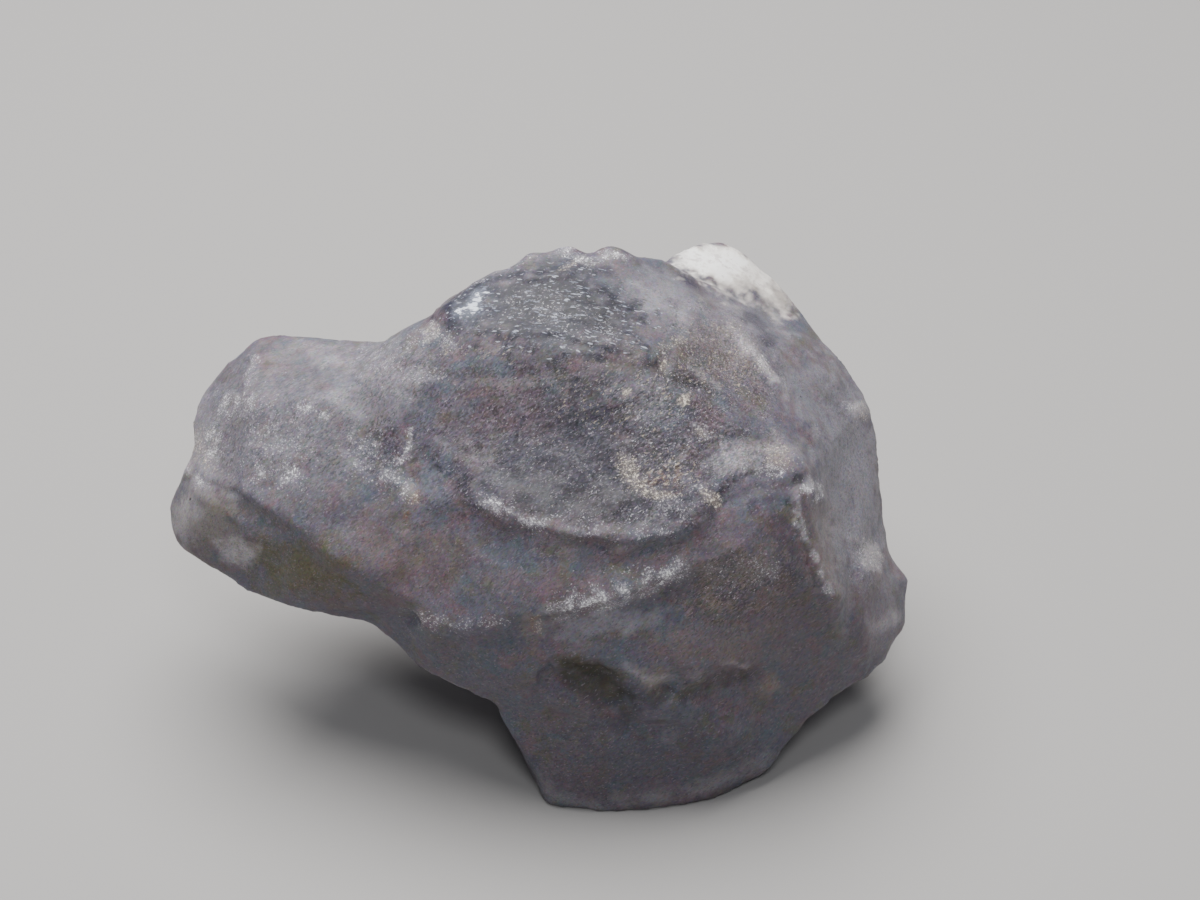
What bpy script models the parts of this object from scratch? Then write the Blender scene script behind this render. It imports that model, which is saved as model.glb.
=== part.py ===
"""A rough herderite crystal: one broken piece of stone, standing on the small flat break at its foot.

The stone starts as a few blunt lumps, each the convex shape that its corners span. They are joined, hollowed
by shell-shaped breaks and rounded. Dishes, ledges, grooves and scoops are then pressed into the skin, and the
foot is cut flat. Lengths are in millimetres and become metres where a mesh is made.
"""

import math
from collections import namedtuple

import bmesh
import bpy
import numpy as np
from mathutils import Euler, Matrix, Vector, noise

NAME = "herderite_crystal"
MM = 0.001

# Driving dimensions
FRONT_TILT = 38.0
SKIN_VOXEL = 0.24
ROUNDING_STEPS = 9
ROUNDING_FACTOR = 0.5
STEP_WIDTH = 0.6
TRIANGLES = 9600

# Waves and scoops over the whole skin: size, depth, layers of detail, seed of the pattern. The scoops are
# shallow shells that meet in blunt ridges. The seen side broke smoother, so both are weaker there by this share.
SWELL = (6.5, 0.42, 2, 1)
SCOOPS = (2.6, 0.26, 2, 2)
FRONT_CALM = 0.5
PATTERN_SHIFT = Vector((17.3, -9.1, 5.7))
ROUGHNESS_STEP = 0.6
LACUNARITY = 2.1

# The ledges and grooves wander off their lines: how far, over lumps of what size, layers of detail
WANDER = (0.3, 1.8, 2)
WANDER_SEEDS = (5, 6)

# A feature of the seen side fades in over this range of how squarely the skin faces the front
FACING_RANGE = (0.05, 0.45)
LEDGE_END = 0.24
GROOVE_END = 0.15
PUSH_FORWARD = 0.6

LUMP_COLOUR = (0.40, 0.36, 0.42, 1.0)
LUMP_ROUGHNESS = 0.45

# The seen side leans back by FRONT_TILT. Its corners are laid out on that leaning plane as
# (across to the right, up the plane, out from the plane). The hidden corners are plain (x, y, z).
BODY_FRONT = (
    (-3.7, 16.0, 9.6), (-2.5, 17.2, 9.0), (-0.7, 18.2, 8.6), (1.0, 18.7, 8.3), (3.5, 18.6, 8.0),
    (5.3, 18.3, 7.0), (-2.2, 15.3, 10.9), (1.0, 14.9, 11.6), (4.6, 13.8, 11.6), (8.8, 15.0, 7.8),
    (10.3, 11.2, 9.8), (-5.5, 12.2, 10.5), (-5.6, 8.6, 11.3), (-2.3, 8.3, 12.4), (1.0, 6.8, 13.1),
    (4.2, 6.5, 13.2), (6.8, 6.9, 12.9), (10.8, 9.0, 10.8), (11.0, 6.5, 10.5), (12.4, 3.8, 9.2),
    (-4.8, 3.0, 11.0), (-2.6, 2.9, 11.7), (0.2, 3.7, 12.4), (3.4, 4.2, 12.7), (5.8, 5.3, 12.7),
    (8.2, 6.1, 12.2), (13.3, 13.9, 3.2), (14.1, 12.4, 3.1), (14.5, 10.9, 3.0), (14.6, 8.9, 3.0),
    (14.6, 6.8, 3.0), (14.9, 5.3, 3.0), (15.1, 3.5, 3.1), (15.2, 2.2, 3.3),
)
BODY_BACK = (
    (-4.5, 6.0, 15.5), (3.0, 9.8, 14.5), (9.5, 10.3, 12.0), (-3.0, 6.5, 7.0), (3.0, 10.3, 6.5),
    (12.0, 8.0, 5.5),
)
BELLY_FRONT = (
    (-7.0, 3.0, 8.0), (-5.6, 1.8, 8.0), (-4.3, 0.5, 8.4), (-2.8, -0.1, 8.7), (-4.6, 2.9, 10.8),
    (-2.6, 2.6, 11.5), (0.2, 3.4, 12.1), (3.4, 3.9, 12.4), (8.2, 4.5, 11.7), (12.2, 3.5, 8.9),
    (1.5, -0.5, 9.9), (5.5, -1.0, 9.7), (11.6, -1.2, 5.5), (13.4, 0.0, 5.0), (15.0, 1.1, 4.0),
    (15.3, 2.1, 3.5),
)
BELLY_BACK = ((-4.0, 5.0, 7.5), (2.0, 9.4, 8.0), (4.0, 9.6, 4.6), (12.5, 6.8, 4.5))
FOOT_FRONT = (
    (-1.7, -0.7, 8.5), (-0.6, -1.8, 7.9), (0.2, -2.9, 7.2), (0.5, -4.1, 6.7), (9.8, -3.4, 5.4),
    (10.2, -2.2, 5.7), (11.4, -1.1, 5.7), (1.0, 2.0, 10.7), (8.0, 2.5, 9.6), (3.0, -2.0, 9.1),
    (7.5, -1.8, 8.5),
)
FOOT_BACK = (
    (0.8, -7.7, -0.5), (4.7, -7.9, -0.5), (7.4, -7.3, -0.5), (9.2, -5.0, -0.5), (9.6, 1.5, -0.5),
    (6.5, 6.4, -0.5), (1.0, 5.4, -0.5), (-1.2, -1.0, -0.5), (-4.2, 5.8, 8.5), (2.5, 9.6, 8.5),
    (12.0, 7.0, 5.5),
)
ARM_FRONT = (
    (-12.6, 14.1, 5.0), (-11.7, 14.8, 5.2), (-9.9, 14.7, 5.8), (-8.0, 14.8, 6.4), (-6.3, 14.8, 7.1),
    (-13.7, 13.2, 4.9), (-14.6, 12.3, 5.0), (-14.7, 11.0, 5.4), (-14.9, 9.4, 6.0), (-11.7, 12.2, 8.3),
    (-8.6, 12.3, 9.6), (-5.9, 11.0, 10.6), (-11.9, 8.3, 9.4), (-8.3, 5.7, 10.9), (-4.6, 3.7, 11.2),
    (-5.4, 8.2, 11.5), (-7.0, 2.9, 8.0), (-8.6, 3.4, 7.4), (-2.0, 5.0, 11.6),
)
ARM_BACK = ((-13.0, 5.5, 11.5), (-8.0, 7.5, 12.0), (-11.0, 6.0, 7.5), (-3.0, 7.0, 7.5), (2.0, 3.0, 10.0))
NECK_FRONT = (
    (-6.8, 14.7, 7.2), (-5.2, 15.1, 8.2), (-3.9, 15.7, 9.4), (-3.0, 14.0, 11.0), (-8.0, 12.6, 9.4),
    (-8.4, 8.5, 10.6), (-3.5, 8.5, 11.9), (-6.0, 5.0, 11.3), (-2.0, 12.0, 11.5),
)
NECK_BACK = ((-7.0, 6.5, 13.0), (-3.0, 6.5, 15.0), (-5.0, 5.0, 8.0), (0.0, 2.0, 10.0))
NOSE_FRONT = (
    (-15.2, 8.6, 5.5), (-15.5, 7.8, 5.6), (-15.4, 6.3, 5.8), (-14.3, 5.4, 6.4), (-12.4, 4.4, 7.0),
    (-10.9, 4.0, 7.1), (-8.8, 3.6, 7.4), (-8.3, 5.0, 10.3), (-12.0, 6.8, 8.9), (-13.6, 7.6, 8.1),
    (-11.3, 8.6, 9.6), (-6.5, 3.6, 10.0), (-5.0, 3.0, 9.0), (-14.9, 9.6, 6.0), (-13.4, 9.2, 8.0),
)
NOSE_BACK = ((-12.0, 3.5, 7.3), (-6.0, 3.5, 7.0), (-13.5, 3.5, 10.0), (-4.0, 0.0, 9.0))
CHEEK_FRONT = (
    (14.6, 6.5, 3.6), (15.1, 5.4, 3.2), (15.65, 4.6, 3.0), (15.8, 3.5, 3.1), (15.75, 2.3, 3.2),
    (14.9, 1.2, 4.0), (13.6, 1.4, 6.3), (13.2, 3.2, 7.8), (13.4, 5.2, 7.4),
)
CHEEK_BACK = ((12.5, 7.0, 5.5), (12.0, 5.5, 3.8), (11.0, 2.0, 6.0))
KNOB_FRONT = (
    (5.0, 18.4, 5.0), (6.5, 19.0, 3.3), (7.8, 19.2, 2.4), (8.9, 18.9, 2.2), (10.0, 17.9, 2.1),
    (10.8, 16.4, 2.4), (11.9, 15.1, 2.8), (13.0, 14.0, 3.2), (8.7, 15.7, 5.8), (6.6, 17.3, 6.1),
    (11.0, 13.0, 7.0),
)
KNOB_BACK = ((6.5, 11.0, 12.5), (11.5, 9.5, 10.5), (8.0, 6.0, 11.0), (13.0, 6.0, 11.0))

# The arm is the long limb to the left, the nose the smaller lobe beneath its end, the belly the swelling below
# the ledges, the cheek the lobe low on the right, and the knob the pale lump behind the crest.
LUMPS = {
    "body": (BODY_FRONT, BODY_BACK),
    "belly": (BELLY_FRONT, BELLY_BACK),
    "foot": (FOOT_FRONT, FOOT_BACK),
    "arm": (ARM_FRONT, ARM_BACK),
    "neck": (NECK_FRONT, NECK_BACK),
    "nose": (NOSE_FRONT, NOSE_BACK),
    "cheek": (CHEEK_FRONT, CHEEK_BACK),
    "knob": (KNOB_FRONT, KNOB_BACK),
}

# Shell-shaped breaks of the hidden sides: centre, half-lengths along x, y and z, turn about z in degrees
Hollow = namedtuple("Hollow", "centre half turn")
HOLLOWS = {
    "back of neck": Hollow((-5.5, 14.6, 13.0), (6.5, 7.4, 7.0), 20.0),
    "back of body": Hollow((2.5, 18.0, 8.4), (7.0, 9.0, 6.4), -16.0),
    "back of flank": Hollow((14.4, 14.8, 9.5), (6.0, 8.0, 6.5), 35.0),
    "under arm": Hollow((-11.5, 3.0, -0.8), (9.5, 9.0, 7.0), 0.0),
    "under flank": Hollow((16.8, 2.0, -2.2), (6.0, 8.0, 5.5), 0.0),
}

# Broad shallow dishes of the seen side
Dish = namedtuple("Dish", "across up half_across half_up depth")
DISHES = {
    "main face": Dish(1.2, 11.0, 5.6, 3.6, 0.55),
    "upper facet": Dish(0.6, 15.6, 4.6, 1.8, 0.2),
    "neck": Dish(-6.8, 9.5, 2.6, 4.6, 0.45),
    "lower face": Dish(7.6, 3.6, 4.4, 2.4, 0.35),
    "flank": Dish(12.6, 8.6, 1.6, 3.6, 0.35),
    "foot": Dish(4.6, -2.6, 4.2, 2.6, 0.35),
    "nose": Dish(-11.2, 5.2, 2.6, 1.6, 0.3),
}

# Ledges of the seen side. Each runs along (across, up) points with its high side on the left of the way it runs.
# The lip stands up over its width, then the skin drops and comes back over the reach.
Ledge = namedtuple("Ledge", "points lip width drop reach")
LEDGES = {
    "upper ledge": Ledge(
        ((-3.4, 9.0), (-2.3, 8.3), (-0.6, 7.4), (1.0, 6.8), (2.6, 6.6), (4.2, 6.5), (5.6, 6.8), (6.6, 7.6),
         (7.3, 8.6), (7.9, 9.2)),
        lip=0.05, width=0.6, drop=0.28, reach=2.4,
    ),
    "lower ledge": Ledge(
        ((-6.2, 3.6), (-4.6, 3.1), (-2.6, 2.9), (0.2, 3.7), (1.8, 3.8), (3.4, 4.2), (4.6, 4.8), (5.8, 5.3),
         (9.4, 6.6)),
        lip=0.05, width=0.7, drop=0.26, reach=2.2,
    ),
    "recess rim": Ledge(
        ((-0.8, -0.3), (-0.2, 0.7), (0.4, 1.8), (1.0, 1.5), (1.8, 1.8), (2.8, 1.6), (3.3, 0.9), (4.2, 0.4),
         (5.0, 0.1)),
        lip=0.04, width=0.5, drop=0.42, reach=2.0,
    ),
    "tooth edge": Ledge(
        ((3.6, 0.2), (4.2, 0.4), (4.9, 1.3), (6.4, 1.0), (8.4, 1.4), (10.4, 2.0)),
        lip=0.04, width=0.5, drop=0.22, reach=1.4,
    ),
    "plate edge": Ledge(
        ((6.2, 7.4), (7.2, 8.5), (8.7, 9.4), (10.4, 9.3), (11.4, 9.9)),
        lip=0.03, width=0.5, drop=0.14, reach=1.0,
    ),
    "face step": Ledge(
        ((-4.9, 7.8), (-5.4, 9.2), (-5.5, 10.6), (-5.2, 12.4), (-4.2, 13.6)),
        lip=0.08, width=1.0, drop=0.2, reach=2.0,
    ),
    "nose brow": Ledge(
        ((-14.6, 9.2), (-11.9, 8.3), (-9.6, 6.9), (-7.6, 5.6), (-6.0, 2.4)),
        lip=0.03, width=0.8, drop=0.04, reach=1.8,
    ),
    "knob brow": Ledge(
        ((7.4, 17.0), (8.2, 15.5), (9.0, 14.3), (9.8, 13.1), (10.9, 12.9), (12.9, 12.3), (14.4, 11.2)),
        lip=0.04, width=0.9, drop=0.07, reach=1.5,
    ),
    "flank edge": Ledge(
        ((13.0, 2.4), (12.4, 3.8), (12.0, 4.6), (11.3, 6.1), (10.8, 7.3), (10.8, 8.9), (10.2, 10.4),
         (9.4, 12.4)),
        lip=0.12, width=0.5, drop=0.06, reach=0.8,
    ),
}

# Rounded grooves of the seen side
Groove = namedtuple("Groove", "points depth width")
GROOVES = {
    "knob crease": Groove(((3.6, 18.8), (5.1, 18.1), (6.7, 17.5), (8.4, 16.5), (10.8, 15.6)), 0.35, 0.6),
    "flank crease": Groove(((12.0, 9.6), (12.4, 7.4), (13.2, 5.0), (13.4, 2.4)), 0.2, 0.8),
}


def front_axes():
    """The unit directions up and out of the leaning front plane."""
    tilt = math.radians(FRONT_TILT)
    return Vector((0, math.sin(tilt), math.cos(tilt))), Vector((0, -math.cos(tilt), math.sin(tilt)))


def on_front(across, up, out):
    up_way, out_way = front_axes()
    return Vector((across, 0, 0)) + up * up_way + out * out_way


def clear_scene():
    for obj in list(bpy.data.objects):
        bpy.data.objects.remove(obj)


def new_collection(name):
    made = bpy.data.collections.new(name)
    bpy.context.scene.collection.children.link(made)
    return made


def object_from(bm, name, collection):
    mesh = bpy.data.meshes.new(name)
    bm.to_mesh(mesh)
    bm.free()
    obj = bpy.data.objects.new(name, mesh)
    collection.objects.link(obj)
    return obj


def lump(name, front, back, collection):
    """The convex shape spanned by the corners."""
    bm = bmesh.new()
    for corner in front:
        bm.verts.new(on_front(*corner) * MM)
    for corner in back:
        bm.verts.new(Vector(corner) * MM)
    made = bmesh.ops.convex_hull(bm, input=bm.verts)
    unused = {v for v in made["geom_interior"] + made["geom_unused"] if isinstance(v, bmesh.types.BMVert)}
    bmesh.ops.delete(bm, geom=list(unused), context="VERTS")
    bmesh.ops.recalc_face_normals(bm, faces=bm.faces)
    return object_from(bm, name, collection)


def hollow(name, how, collection):
    """An ellipsoid that bites a shell-shaped break."""
    turn = Euler((0, 0, math.radians(how.turn)))
    place = Matrix.LocRotScale(Vector(how.centre) * MM, turn, Vector(how.half) * MM)
    bm = bmesh.new()
    bmesh.ops.create_icosphere(bm, subdivisions=5, radius=1.0)
    bmesh.ops.transform(bm, matrix=place, verts=bm.verts)
    return object_from(bm, name, collection)


def add_boolean(obj, operation, other):
    modifier = obj.modifiers.new(operation.lower() + " " + other.name, "BOOLEAN")
    modifier.operation = operation
    modifier.solver = "EXACT"
    modifier.object = other


def add_skin(obj):
    """An even skin over the joined lumps, rounded as long wear leaves it."""
    skin = obj.modifiers.new("skin", "REMESH")
    skin.mode = "VOXEL"
    skin.voxel_size = SKIN_VOXEL * MM
    rounding = obj.modifiers.new("rounding", "SMOOTH")
    rounding.factor = ROUNDING_FACTOR
    rounding.iterations = ROUNDING_STEPS


def apply_modifiers(obj):
    bpy.context.view_layer.update()
    evaluated = obj.evaluated_get(bpy.context.evaluated_depsgraph_get())
    mesh = bpy.data.meshes.new_from_object(evaluated)
    obj.modifiers.clear()
    obj.data = mesh
    mesh.name = obj.name


def smoothstep(low, high, value):
    t = np.clip((value - low) / (high - low), 0.0, 1.0)
    return t * t * (3.0 - 2.0 * t)


def nearest(points, across, up):
    """Distance to the line through the points, which side of it (1 on the left), and the share run so far."""
    ends = np.array(points, float)
    runs = np.diff(ends, axis=0)
    lengths = np.hypot(runs[:, 0], runs[:, 1])
    before = np.concatenate([[0.0], np.cumsum(lengths)])
    distance = np.full(len(across), np.inf)
    side = np.zeros(len(across))
    share = np.zeros(len(across))
    for start, run, length, done in zip(ends, runs, lengths, before):
        from_start = (across - start[0]) * run[0] + (up - start[1]) * run[1]
        t = np.clip(from_start / length**2, 0.0, 1.0)
        off_across = across - start[0] - t * run[0]
        off_up = up - start[1] - t * run[1]
        here = np.hypot(off_across, off_up)
        closer = here < distance
        distance[closer] = here[closer]
        side[closer] = np.where(run[0] * off_up - run[1] * off_across >= 0, 1.0, -1.0)[closer]
        share[closer] = ((done + t * length) / before[-1])[closer]
    return distance, side, share


def fading_ends(share, end):
    return smoothstep(0.0, end, share) * (1.0 - smoothstep(1.0 - end, 1.0, share))


def dish_push(dish, across, up):
    from_centre = np.hypot((across - dish.across) / dish.half_across, (up - dish.up) / dish.half_up)
    return -dish.depth * (1.0 - smoothstep(0.0, 1.0, from_centre))


def ledge_push(ledge, across, up):
    distance, side, share = nearest(ledge.points, across, up)
    lip = ledge.lip * np.exp(-((distance / ledge.width) ** 2))
    step = ledge.lip - (ledge.lip + ledge.drop) * smoothstep(0.0, STEP_WIDTH, distance)
    rise_back = -ledge.drop * (1.0 - smoothstep(STEP_WIDTH, ledge.reach, distance))
    below = np.where(distance < STEP_WIDTH, step, rise_back)
    return np.where(side > 0, lip, below) * fading_ends(share, LEDGE_END)


def groove_push(groove, across, up):
    distance, _, share = nearest(groove.points, across, up)
    return -groove.depth * np.exp(-((distance / groove.width) ** 2)) * fading_ends(share, GROOVE_END)


def pattern(points, size, layers, seed):
    values = [
        noise.fractal(Vector(point) / size + seed * PATTERN_SHIFT, ROUGHNESS_STEP, LACUNARITY, layers)
        for point in points
    ]
    return np.array(values)


def read_skin(mesh):
    """Points in millimetres and normals, one row a vertex."""
    points = np.empty(len(mesh.vertices) * 3)
    normals = np.empty(len(mesh.vertices) * 3)
    mesh.vertices.foreach_get("co", points)
    mesh.vertex_normals.foreach_get("vector", normals)
    return points.reshape(-1, 3) / MM, normals.reshape(-1, 3)


def facing_front(normals):
    """0 on the hidden sides, rising to 1 where the skin faces the way that the seen side does."""
    return smoothstep(*FACING_RANGE, normals @ np.array(front_axes()[1]))


def press_front(points, normals):
    """Presses the dishes, ledges and grooves into the side that leans back."""
    up_way, out_way = (np.array(way) for way in front_axes())
    far, size, layers = WANDER
    wander_across, wander_up = (far * pattern(points, size, layers, seed) for seed in WANDER_SEEDS)
    across = points[:, 0] + wander_across
    up = points @ up_way + wander_up
    push = np.zeros(len(points))
    for features, push_of in ((DISHES, dish_push), (LEDGES, ledge_push), (GROOVES, groove_push)):
        for feature in features.values():
            push += push_of(feature, across, up)
    push *= facing_front(normals)
    way = PUSH_FORWARD * out_way + (1.0 - PUSH_FORWARD) * normals
    return points + push[:, None] * way


def roughen(points, normals):
    """Slow waves and small scoops over the whole stone."""
    size, depth, layers, seed = SWELL
    push = depth * pattern(points, size, layers, seed)
    size, depth, layers, seed = SCOOPS
    push -= depth * np.abs(pattern(points, size, layers, seed))
    push *= 1.0 - FRONT_CALM * facing_front(normals)
    return points + push[:, None] * normals


def press_skin(obj):
    points, normals = read_skin(obj.data)
    points = roughen(press_front(points, normals), normals)
    obj.data.vertices.foreach_set("co", (points * MM).ravel())
    obj.data.update()


def thin_skin(obj):
    """Keeps the triangles where the stone bends and drops them where it is smooth."""
    obj.data.calc_loop_triangles()
    thin = obj.modifiers.new("thin", "DECIMATE")
    thin.ratio = TRIANGLES / len(obj.data.loop_triangles)
    apply_modifiers(obj)


def stand_on_base(obj):
    """Cuts the foot flat at the ground and moves the stone over the origin."""
    bm = bmesh.new()
    bm.from_mesh(obj.data)
    everything = bm.verts[:] + bm.edges[:] + bm.faces[:]
    ground = {"plane_co": (0, 0, 0), "plane_no": (0, 0, -1)}
    cut = bmesh.ops.bisect_plane(bm, geom=everything, clear_outer=True, **ground)
    rim = [e for e in cut["geom_cut"] if isinstance(e, bmesh.types.BMEdge)]
    bmesh.ops.contextual_create(bm, geom=rim)
    bmesh.ops.recalc_face_normals(bm, faces=bm.faces)
    corners = np.array([v.co for v in bm.verts])
    middle = (corners.min(axis=0) + corners.max(axis=0)) / 2
    bmesh.ops.translate(bm, vec=Vector((-middle[0], -middle[1], 0)), verts=bm.verts)
    bm.to_mesh(obj.data)
    bm.free()


def herderite():
    """Lavender grey stone with a satin broken skin."""
    material = bpy.data.materials.new("herderite")
    material.use_nodes = True
    surface = material.node_tree.nodes["Principled BSDF"].inputs
    surface["Base Color"].default_value = LUMP_COLOUR
    surface["Roughness"].default_value = LUMP_ROUGHNESS
    surface["Metallic"].default_value = 0.0
    return material


def build_stone():
    home = new_collection(NAME)
    lumps = [lump(name, front, back, home) for name, (front, back) in LUMPS.items()]
    hollows = [hollow(name, how, home) for name, how in HOLLOWS.items()]
    stone = lumps.pop(0)
    for other in lumps:
        add_boolean(stone, "UNION", other)
    for other in hollows:
        add_boolean(stone, "DIFFERENCE", other)
    add_skin(stone)
    apply_modifiers(stone)
    for other in lumps + hollows:
        bpy.data.objects.remove(other)
    press_skin(stone)
    thin_skin(stone)
    stand_on_base(stone)
    stone.name = NAME
    stone.data.name = NAME
    stone.data.shade_smooth()
    stone.data.materials.append(herderite())


clear_scene()
build_stone()
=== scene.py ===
"""Finishes the herderite crystal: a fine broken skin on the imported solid, its clouded stone, and a studio."""

import math
from collections import namedtuple

import bpy
import numpy as np
from mathutils import Matrix, Vector, noise


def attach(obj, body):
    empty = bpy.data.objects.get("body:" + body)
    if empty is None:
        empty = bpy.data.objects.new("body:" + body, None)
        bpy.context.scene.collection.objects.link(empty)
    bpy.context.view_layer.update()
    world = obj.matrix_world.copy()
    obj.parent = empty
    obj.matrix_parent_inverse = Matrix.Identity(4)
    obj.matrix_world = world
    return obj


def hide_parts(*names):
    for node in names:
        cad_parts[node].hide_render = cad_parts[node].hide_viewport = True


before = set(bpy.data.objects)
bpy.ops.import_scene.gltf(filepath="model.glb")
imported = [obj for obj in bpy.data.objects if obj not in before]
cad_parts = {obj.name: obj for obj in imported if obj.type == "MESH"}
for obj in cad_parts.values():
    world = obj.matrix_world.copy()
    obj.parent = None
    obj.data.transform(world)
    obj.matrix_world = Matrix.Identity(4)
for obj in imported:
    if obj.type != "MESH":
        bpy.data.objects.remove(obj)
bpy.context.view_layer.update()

MM = 0.001
STONE_NODE = "herderite_crystal"

# The seen side leans back by this many degrees. A place on it is (across to the right, up the lean), in
# millimetres from this point, where the leaning plane meets the ground.
FRONT_TILT = 38.0
FRONT_START = (-0.122, -1.363)

# Skin, in millimetres
SKIN_VOXEL = 0.155
SKIN_SMOOTHING = 3

# Camera: the seen side square on, as a close-up lens sees it
LENS = 100.0
SENSOR = 36.0
CAMERA_DISTANCE = 137.2
CAMERA_TARGET = (FRONT_START[0] + 2.6, FRONT_START[1], 12.9)
CAMERA_ELEVATION = 38.0


# ---------------------------------------------------------------- where things lie on the seen side

# Fracture steps. Each runs with its high side on the left: how far the low side drops, and how wide it is.
Step = namedtuple("Step", "line drop reach")
STEPS = {
    "upper ledge": Step(
        ((-2.9, 8.7), (-2.3, 8.3), (-0.6, 7.4), (1.0, 6.8), (2.6, 6.6), (4.2, 6.5), (5.6, 6.8), (6.6, 7.6),
         (7.3, 8.6)), 0.09, 0.7),
    "lower ledge": Step(
        ((-4.6, 3.1), (-2.6, 2.9), (0.2, 3.6), (1.8, 3.8), (3.4, 4.2), (4.6, 4.8), (5.8, 5.3), (7.4, 5.9)),
        0.07, 0.8),
    "recess": Step(
        ((-0.4, -0.4), (0.1, 1.1), (0.7, 1.9), (1.7, 1.6), (2.5, 1.6), (3.1, 1.25), (3.5, 0.9), (4.1, 0.3)),
        0.16, 0.4),
    "tooth": Step(
        ((4.1, 0.2), (4.8, 0.7), (5.4, 1.0), (6.3, 1.0), (7.4, 1.35), (7.9, 1.4), (8.4, 1.1), (9.6, 1.6)),
        0.15, 0.8),
    "plate": Step(((6.2, 8.2), (7.2, 8.6), (8.7, 9.4), (10.5, 9.2)), 0.1, 0.6),
    "plate, top": Step(((10.2, 10.6), (9.0, 10.4), (7.6, 10.5), (6.7, 9.8), (6.4, 8.8)), 0.05, 0.5),
    "fold": Step(((1.0, 14.4), (2.8, 14.0), (4.6, 13.5), (7.4, 12.4), (9.9, 11.2)), 0.05, 0.8),
    "face step": Step(((-4.9, 8.2), (-5.3, 9.2), (-5.3, 10.4), (-5.1, 12.0)), 0.05, 0.7),
    "arm fold": Step(((-14.4, 9.2), (-12.2, 8.4), (-10.6, 7.4), (-9.0, 6.6)), 0.1, 0.8),
}

# Narrow ridges, and grooves where the height is under 0: the line, the height and the half-width
Ridge = namedtuple("Ridge", "line height width")
RIDGES = (
    # Flank: the brow, then the edge in two runs, each with a groove on its inner side
    Ridge(((8.3, 14.8), (8.8, 14.1), (9.2, 13.8), (9.8, 13.0), (10.2, 12.4)), 0.12, 0.28),
    Ridge(((8.8, 15.2), (9.3, 14.7), (9.9, 13.8), (10.4, 12.9)), -0.08, 0.3),
    Ridge(((10.5, 9.2), (10.55, 8.6), (10.6, 7.9), (10.65, 7.1), (10.8, 6.8)), 0.1, 0.15),
    Ridge(((10.25, 8.3), (10.3, 7.7), (10.35, 7.0)), -0.08, 0.14),
    Ridge(((11.1, 6.8), (11.3, 6.0), (11.5, 5.3), (11.8, 4.5), (12.5, 4.0)), 0.1, 0.15),
    Ridge(((10.8, 6.6), (11.0, 5.9), (11.2, 5.2), (11.5, 4.4)), -0.1, 0.16),
    Ridge(((10.9, 8.8), (11.8, 8.1), (12.4, 7.0)), 0.06, 0.3),
    # Crest, with its groove below
    Ridge(((-1.2, 17.1), (-0.7, 17.2), (0.2, 17.2), (1.2, 17.4), (1.9, 17.9), (2.6, 18.4)), 0.08, 0.2),
    Ridge(((-0.9, 16.85), (0.3, 16.85), (1.3, 17.0), (2.1, 17.5)), -0.03, 0.16),
    # Hackles of the upper facet
    Ridge(((0.2, 16.5), (1.0, 16.4), (1.7, 16.2)), 0.05, 0.09),
    Ridge(((2.1, 16.85), (3.0, 16.7)), 0.05, 0.08),
    Ridge(((0.8, 15.65), (1.5, 15.55), (2.4, 15.3)), -0.07, 0.1),
    Ridge(((0.8, 15.3), (2.3, 15.0)), 0.05, 0.09),
    Ridge(((-1.7, 15.95), (-0.6, 15.85), (0.2, 15.7)), 0.05, 0.1),
    Ridge(((-0.7, 15.1), (0.8, 14.9)), 0.04, 0.09),
    Ridge(((0.2, 14.9), (1.6, 14.5), (3.1, 14.1), (4.2, 13.8)), -0.06, 0.12),
    Ridge(((3.4, 15.9), (4.6, 15.3)), 0.04, 0.1),
    # Thin scars on the upper right of the face
    Ridge(((4.8, 14.1), (5.7, 13.8), (6.2, 13.3)), 0.05, 0.08),
    Ridge(((7.1, 12.85), (8.1, 12.2), (8.5, 11.8)), 0.05, 0.08),
    Ridge(((4.3, 13.85), (4.9, 13.65), (5.5, 13.3)), -0.1, 0.2),
    Ridge(((6.1, 13.0), (6.8, 12.75)), -0.08, 0.18),
    # Arm
    Ridge(((-10.2, 14.5), (-9.0, 14.2), (-8.3, 13.6), (-8.0, 12.9)), 0.08, 0.3),
    Ridge(((-11.7, 14.3), (-11.9, 13.2), (-12.1, 12.2)), 0.1, 0.16),
    Ridge(((-12.1, 14.0), (-12.3, 13.0), (-12.5, 12.2)), -0.08, 0.2),
    Ridge(((-14.9, 8.6), (-13.9, 8.2), (-12.6, 7.6), (-11.4, 6.8)), 0.07, 0.22),
    # Foot
    Ridge(((2.6, 0.3), (3.6, -0.7), (4.4, -1.4), (5.6, -1.6)), 0.05, 0.18),
)

# Small bumps, and dips where the height is under 0, on the crest, the flank and the recess's floor: place,
# height and half-width
Nick = namedtuple("Nick", "across up height width")
NICKS = (
    Nick(1.15, 18.75, 0.14, 0.45), Nick(2.15, 18.6, -0.2, 0.4), Nick(3.1, 18.5, 0.1, 0.4),
    Nick(-1.2, 18.1, -0.12, 0.4), Nick(-0.3, 18.4, 0.08, 0.4), Nick(4.2, 18.3, -0.08, 0.5),
    Nick(1.7, 0.5, 0.22, 1.4), Nick(13.5, 11.9, 0.12, 0.5), Nick(15.4, 4.8, 0.1, 0.5),
    Nick(14.8, 3.0, 0.1, 0.5), Nick(13.9, 5.8, 0.08, 0.7), Nick(12.2, 9.6, -0.08, 1.0),
)

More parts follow.
